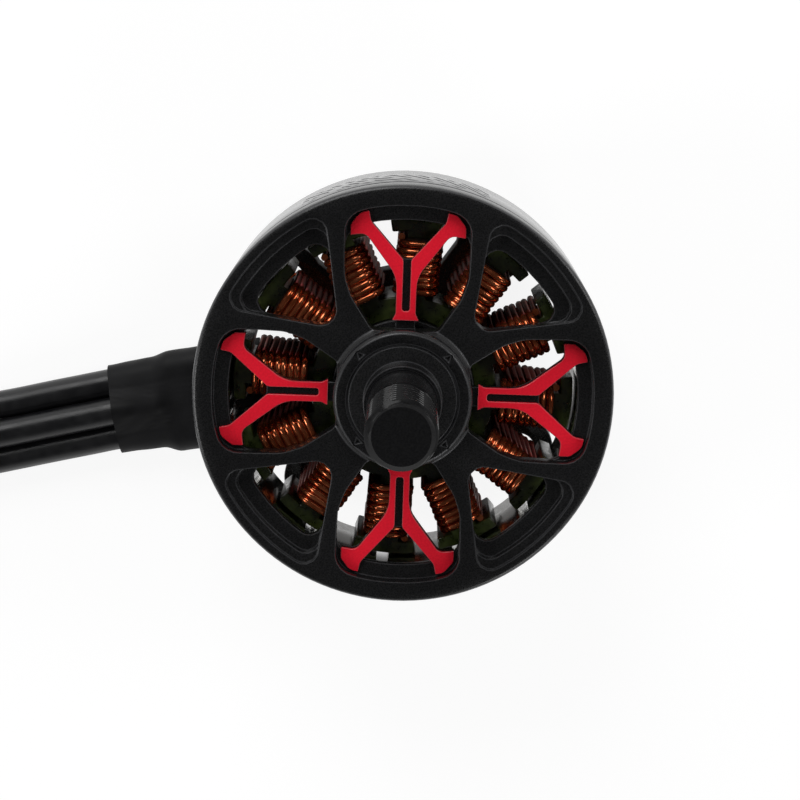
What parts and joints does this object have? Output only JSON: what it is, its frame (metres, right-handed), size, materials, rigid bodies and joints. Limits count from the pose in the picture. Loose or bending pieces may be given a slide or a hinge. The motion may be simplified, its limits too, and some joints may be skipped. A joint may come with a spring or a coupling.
{
  "type": "brushless outrunner motor",
  "caption": "Brushless outrunner motor with a windowed rotating bell, red ribs, wound stator, threaded shaft and three silicone leads.",
  "frame": {"origin": "centre of the mounting face, on the shaft axis", "axes": "+Z along the shaft, towards its threaded end; the leads leave along -X; +X and +Y are the sides of the square of mounting holes"},
  "size_m": [0.0877, 0.0456, 0.0333],
  "materials": {
    "black_anodised": "satin black anodised aluminium",
    "red_anodised": "satin red anodised aluminium",
    "stator_epoxy": "dark green epoxy coat on laminations",
    "enamelled_copper": "glossy enamelled copper wire",
    "solder": "bright tin solder",
    "bearing_steel": "ground steel",
    "cage_brass": "pressed brass",
    "flux_steel": "black coated steel outside, bright inside",
    "magnet_coat": "bright nickel plate",
    "shaft_steel": "black oxide steel",
    "heat_shrink": "satin shrink tube",
    "silicone_lead": "smooth silicone",
    "tie_plastic": "moulded nylon"
  },
  "bodies": {
    "stator": {"base": "black_anodised", "stator_core": "stator_epoxy", "coils_phase_a": "enamelled_copper", "coils_phase_b": "enamelled_copper", "coils_phase_c": "enamelled_copper", "winding_tails": "enamelled_copper", "solder_joints": "solder", "upper_bearing_outer": "bearing_steel", "lower_bearing_outer": "bearing_steel", "bearing_shields": "bearing_steel", "lead_sleeve": "heat_shrink", "lead_a": "silicone_lead", "lead_b": "silicone_lead", "lead_c": "silicone_lead", "lead_coil": "silicone_lead", "lead_tips": "solder", "lead_tie": "tie_plastic"},
    "rotor": {"bell": "black_anodised", "rib_accents": "red_anodised", "flux_ring": "flux_steel", "magnets": "magnet_coat", "shaft": "shaft_steel", "shaft_spacer": "bearing_steel", "upper_bearing_inner": "bearing_steel", "lower_bearing_inner": "bearing_steel", "retaining_washer": "bearing_steel", "retaining_screw": "shaft_steel"},
    "upper_ball_set": {"upper_bearing_balls": "bearing_steel", "upper_bearing_cage": "cage_brass"},
    "lower_ball_set": {"lower_bearing_balls": "bearing_steel", "lower_bearing_cage": "cage_brass"}
  },
  "joints": [
    {"name": "rotor_spin", "type": "hinge", "parent": "stator", "child": "rotor", "pos_m": [0, 0, 0.01], "axis": [0, 0, 1], "continuous": true},
    {"name": "upper_ball_orbit", "type": "hinge", "parent": "stator", "child": "upper_ball_set", "pos_m": [0, 0, 0.0128], "axis": [0, 0, 1], "continuous": true},
    {"name": "lower_ball_orbit", "type": "hinge", "parent": "stator", "child": "lower_ball_set", "pos_m": [0, 0, 0.0036], "axis": [0, 0, 1], "continuous": true}
  ],
  "couplings": [
    {"joint": "upper_ball_orbit", "follows": "rotor_spin", "ratio": 0.4077},
    {"joint": "lower_ball_orbit", "follows": "rotor_spin", "ratio": 0.4077}
  ]
}
